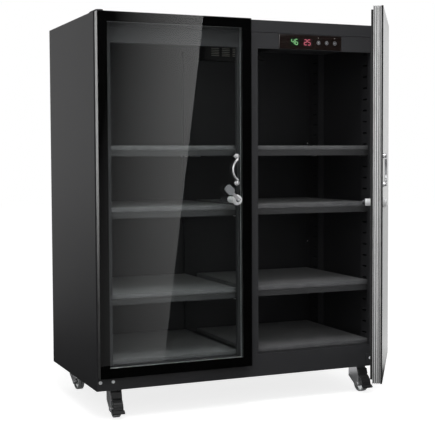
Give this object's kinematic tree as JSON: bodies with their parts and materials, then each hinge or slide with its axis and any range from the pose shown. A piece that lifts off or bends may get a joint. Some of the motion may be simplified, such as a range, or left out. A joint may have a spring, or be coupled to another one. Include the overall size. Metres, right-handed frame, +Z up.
{
  "type": "camera dry cabinet",
  "caption": "Steel dry cabinet on castors with framed glass doors on pin hinges, cam locks, bail handles, padded trays on slotted strips, a humidity control panel and a drying unit.",
  "frame": {"origin": "on the floor under the middle of the case", "axes": "+Z up along the height, -Y towards the doors, +X to the right as seen from the front"},
  "size_m": [0.9069, 0.8523, 1.1042],
  "materials": {
    "case_paint": "satin black powder coat, finely grained",
    "tray_paint": "satin black powder coat",
    "foam": "charcoal foam mat with a fine matte skin",
    "door_alloy": "anodised aluminium, fine brushing along the profile",
    "glass": "clear float glass with a black printed border",
    "gasket": "black PVC magnetic gasket",
    "chrome": "polished chrome plating",
    "zinc": "bright zinc plating",
    "black_plastic": "black moulded plastic, fine texture",
    "display_gloss": "smoked glossy plastic",
    "green_digits": "green two-digit display behind smoked plastic",
    "red_digits": "red two-digit display behind smoked plastic",
    "board": "green circuit board",
    "desiccant": "off-white desiccant pack",
    "wheel": "clear polyurethane wheel with two grey treads",
    "key_head": "grey moulded key head"
  },
  "bodies": {
    "root": {"side_panel_left": "case_paint", "side_panel_right": "case_paint", "top_panel": "case_paint", "back_panel": "case_paint", "base_pan": "case_paint", "inner_floor": "case_paint", "centre_mullion": "case_paint", "shelf_strips": "case_paint", "shelf_clips": "zinc", "tray_left_top": "tray_paint", "tray_left_middle": "tray_paint", "tray_left_low": "tray_paint", "tray_right_top": "tray_paint", "tray_right_middle": "tray_paint", "tray_right_low": "tray_paint", "foam_mats": "foam", "control_fascia": "case_paint", "control_box": "case_paint", "display_panel": "display_gloss", "humidity_display": "green_digits", "temperature_display": "red_digits", "control_board": "board", "humidity_sensor": "black_plastic", "drying_unit_case": "black_plastic", "drying_unit_core": "desiccant", "rear_vent_cover": "black_plastic", "power_inlet": "black_plastic", "case_screws": "chrome", "hinge_brackets": "case_paint", "castor_stems": "chrome"},
    "left_door": {"left_door_frame": "door_alloy", "left_door_glass": "glass", "left_door_gasket": "gasket", "left_handle_posts": "chrome", "left_lock_barrel": "chrome"},
    "right_door": {"right_door_frame": "door_alloy", "right_door_glass": "glass", "right_door_gasket": "gasket", "right_handle_posts": "chrome", "right_lock_barrel": "chrome"},
    "left_handle": {"left_handle_bail": "chrome"},
    "right_handle": {"right_handle_bail": "chrome"},
    "left_lock": {"left_lock_cam": "chrome", "left_key": "chrome"},
    "right_lock": {"right_lock_cam": "chrome"},
    "left_key_head": {"left_key_head": "key_head"},
    "mode_key": {"mode_key": "black_plastic"},
    "up_key": {"up_key": "black_plastic"},
    "down_key": {"down_key": "black_plastic"},
    "shutter": {"drying_unit_shutter": "zinc"},
    "castor_fl": {"castor_fork_fl": "chrome"},
    "wheel_fl": {"castor_wheel_fl": "wheel"},
    "pedal_fl": {"brake_pedal_fl": "black_plastic"},
    "castor_fr": {"castor_fork_fr": "chrome"},
    "wheel_fr": {"castor_wheel_fr": "wheel"},
    "pedal_fr": {"brake_pedal_fr": "black_plastic"},
    "castor_bl": {"castor_fork_bl": "chrome"},
    "wheel_bl": {"castor_wheel_bl": "wheel"},
    "castor_br": {"castor_fork_br": "chrome"},
    "wheel_br": {"castor_wheel_br": "wheel"}
  },
  "joints": [
    {"name": "left_door_hinge", "type": "hinge", "parent": "root", "child": "left_door", "pos_m": [-0.438, -0.2485, 0.609], "axis": [0, 0, -1], "range_deg": [0, 110]},
    {"name": "right_door_hinge", "type": "hinge", "parent": "root", "child": "right_door", "pos_m": [0.438, -0.2485, 0.609], "axis": [0, 0, 1], "range_deg": [-55.6, 54.4]},
    {"name": "left_handle_swing", "type": "hinge", "parent": "left_door", "child": "left_handle", "pos_m": [-0.048, -0.2705, 0.6765], "axis": [0, 0, 1], "range_deg": [0, 100]},
    {"name": "right_handle_swing", "type": "hinge", "parent": "right_door", "child": "right_handle", "pos_m": [0.23581, -0.58272, 0.6765], "axis": [0, 0, -1], "range_deg": [0, 100]},
    {"name": "left_lock_turn", "type": "hinge", "parent": "left_door", "child": "left_lock", "pos_m": [-0.048, -0.2645, 0.592], "axis": [0, -1, 0], "range_deg": [0, 180]},
    {"name": "right_lock_turn", "type": "hinge", "parent": "right_door", "child": "right_lock", "pos_m": [0.23086, -0.57933, 0.592], "axis": [-0.8251, 0.565, 0], "range_deg": [0, 180]},
    {"name": "left_key_fold", "type": "hinge", "parent": "left_lock", "child": "left_key_head", "pos_m": [-0.048, -0.2795, 0.592], "axis": [0.7071, 0, 0.7071], "range_deg": [0, 90]},
    {"name": "mode_key_press", "type": "slide", "parent": "root", "child": "mode_key", "axis": [0, 1, 0], "range_m": [0, 0.0008], "stiffness_N_per_m": 400},
    {"name": "up_key_press", "type": "slide", "parent": "root", "child": "up_key", "axis": [0, 1, 0], "range_m": [0, 0.0008], "stiffness_N_per_m": 400},
    {"name": "down_key_press", "type": "slide", "parent": "root", "child": "down_key", "axis": [0, 1, 0], "range_m": [0, 0.0008], "stiffness_N_per_m": 400},
    {"name": "shutter_slide", "type": "slide", "parent": "root", "child": "shutter", "axis": [1, 0, 0], "range_m": [0, 0.04]},
    {"name": "castor_fl_swivel", "type": "hinge", "parent": "root", "child": "castor_fl", "pos_m": [-0.387, -0.1805, 0.07], "axis": [0, 0, 1], "continuous": true},
    {"name": "wheel_fl_spin", "type": "hinge", "parent": "castor_fl", "child": "wheel_fl", "pos_m": [-0.38881, -0.20644, 0.025], "axis": [0.9976, -0.0698, 0], "continuous": true},
    {"name": "pedal_fl_press", "type": "hinge", "parent": "castor_fl", "child": "pedal_fl", "pos_m": [-0.38881, -0.20644, 0.0575], "axis": [-0.9976, 0.0698, 0], "range_deg": [0, 15]},
    {"name": "castor_fr_swivel", "type": "hinge", "parent": "root", "child": "castor_fr", "pos_m": [0.387, -0.1805, 0.07], "axis": [0, 0, 1], "continuous": true},
    {"name": "wheel_fr_spin", "type": "hinge", "parent": "castor_fr", "child": "wheel_fr", "pos_m": [0.38927, -0.2064, 0.025], "axis": [0.9962, 0.0872, 0], "continuous": true},
    {"name": "pedal_fr_press", "type": "hinge", "parent": "castor_fr", "child": "pedal_fr", "pos_m": [0.38927, -0.2064, 0.0575], "axis": [-0.9962, -0.0872, 0], "range_deg": [0, 15]},
    {"name": "castor_bl_swivel", "type": "hinge", "parent": "root", "child": "castor_bl", "pos_m": [-0.387, 0.2015, 0.07], "axis": [0, 0, 1], "continuous": true},
    {"name": "wheel_bl_spin", "type": "hinge", "parent": "castor_bl", "child": "wheel_bl", "pos_m": [-0.38564, 0.17554, 0.025], "axis": [0.9986, 0.0523, 0], "continuous": true},
    {"name": "castor_br_swivel", "type": "hinge", "parent": "root", "child": "castor_br", "pos_m": [0.387, 0.2015, 0.07], "axis": [0, 0, 1], "continuous": true},
    {"name": "wheel_br_spin", "type": "hinge", "parent": "castor_br", "child": "wheel_br", "pos_m": [0.38338, 0.17575, 0.025], "axis": [0.9903, -0.1392, 0], "continuous": true}
  ]
}
